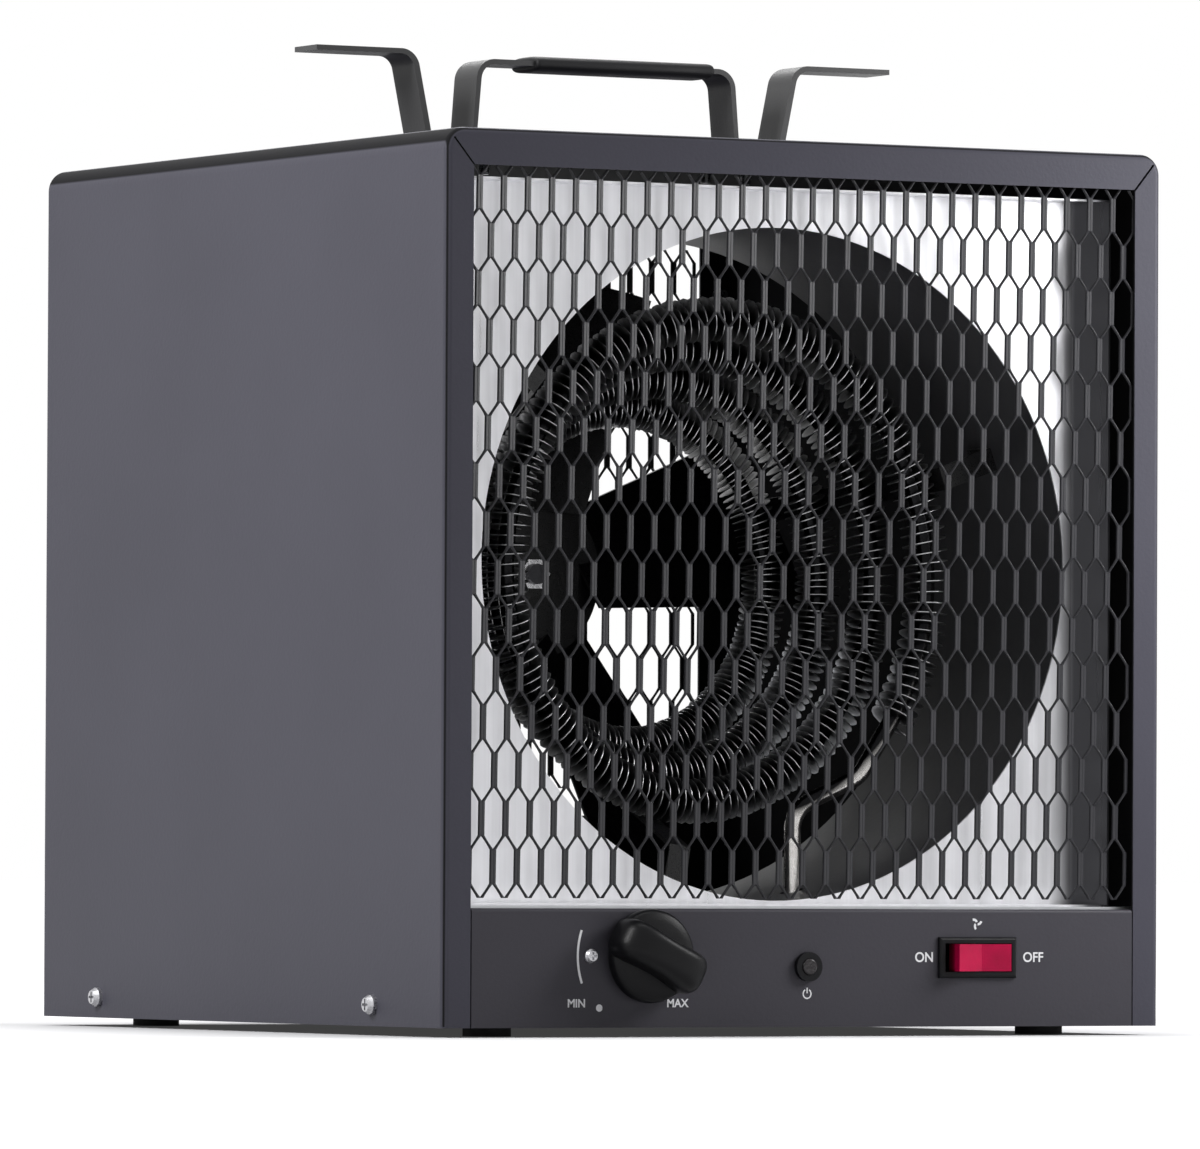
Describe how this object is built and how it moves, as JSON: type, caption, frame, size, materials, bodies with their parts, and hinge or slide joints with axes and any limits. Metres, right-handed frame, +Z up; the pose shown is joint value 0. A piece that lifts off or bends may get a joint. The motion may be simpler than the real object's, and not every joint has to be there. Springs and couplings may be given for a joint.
{
  "type": "garage heater",
  "caption": "Portable electric garage heater: folded steel cabinet, fan behind a spiral finned element, mesh grilles, panel with dial knob and rocker switch, carry handle and cord hooks.",
  "frame": {"origin": "centre of the part's outline on the surface under its feet", "axes": "+X to the right and -Y to the front as the user faces the control panel, +Z up"},
  "size_m": [0.3164, 0.368, 0.3756],
  "materials": {
    "cabinet_paint": "satin powder coat",
    "panel_paint": "satin powder coat",
    "mesh_paint": "semi-gloss black",
    "bright_sheet": "brushed bright",
    "dark_sheet": "dark heat-proof coat",
    "galvanised": "galvanised",
    "element_sheath": "bare sheath",
    "fin_steel": "black oxide",
    "zinc": "zinc plated",
    "strap_paint": "satin black",
    "soft_grip": "matte",
    "foot_rubber": "matte",
    "knob_plastic": "fine grain",
    "switch_plastic": "moulded",
    "rocker_red": "translucent red",
    "lens": "dark tinted",
    "ceramic": "glazed ceramic",
    "phenolic": "moulded",
    "brass": "plain",
    "motor_steel": "black",
    "laminations": "bare",
    "gland_nylon": "moulded"
  },
  "bodies": {
    "cabinet": {"cabinet_wrapper": "cabinet_paint", "base_pan": "cabinet_paint", "rear_panel": "cabinet_paint", "control_panel": "panel_paint", "front_grille": "mesh_paint", "rear_grille": "mesh_paint", "reflector_plate": "bright_sheet", "fan_duct": "dark_sheet", "chamber_floor": "galvanised", "heating_element": "element_sheath", "element_fin": "fin_steel", "element_bushing_1": "ceramic", "element_bushing_2": "ceramic", "element_pin_1": "zinc", "element_pin_2": "zinc", "element_support_1": "galvanised", "element_support_2": "galvanised", "element_support_3": "galvanised", "overheat_cutout": "phenolic", "thermostat_body": "phenolic", "thermostat_screw": "zinc", "switch_housing": "switch_plastic", "switch_terminals": "brass", "indicator_bezel": "switch_plastic", "indicator_lens": "lens", "indicator_nut": "switch_plastic", "handle_strap": "strap_paint", "handle_grip": "soft_grip", "handle_screws": "zinc", "cord_hook_left": "strap_paint", "cord_hook_right": "strap_paint", "cord_hook_screws": "zinc", "side_screws": "zinc", "rear_panel_screws": "zinc", "rubber_foot_1": "foot_rubber", "rubber_foot_2": "foot_rubber", "rubber_foot_3": "foot_rubber", "rubber_foot_4": "foot_rubber", "foot_screws": "zinc", "motor_front_shell": "motor_steel", "motor_rear_shell": "motor_steel", "motor_front_bearing": "brass", "motor_rear_bearing": "brass", "motor_stator": "laminations", "motor_bracket": "galvanised", "motor_screws": "zinc", "cord_gland": "gland_nylon", "gland_locknut": "gland_nylon", "terminal_block": "phenolic", "terminal_screws": "zinc"},
    "fan": {"fan_blades": "dark_sheet", "fan_nut": "zinc", "motor_shaft": "zinc", "motor_rotor": "laminations"},
    "knob": {"thermostat_knob": "knob_plastic", "thermostat_shaft": "zinc"},
    "rocker": {"switch_rocker": "rocker_red"}
  },
  "joints": [
    {"name": "fan_spin", "type": "hinge", "parent": "cabinet", "child": "fan", "pos_m": [0, 0.059, 0.177], "axis": [0, 1, 0], "continuous": true},
    {"name": "dial_turn", "type": "hinge", "parent": "cabinet", "child": "knob", "pos_m": [-0.0688, -0.164, 0.03], "axis": [0, 1, 0], "range_deg": [-252, 18]},
    {"name": "rocker_tip", "type": "hinge", "parent": "cabinet", "child": "rocker", "pos_m": [0.074, -0.161, 0.0294], "axis": [0, 0, -1], "range_deg": [0, 20]}
  ]
}
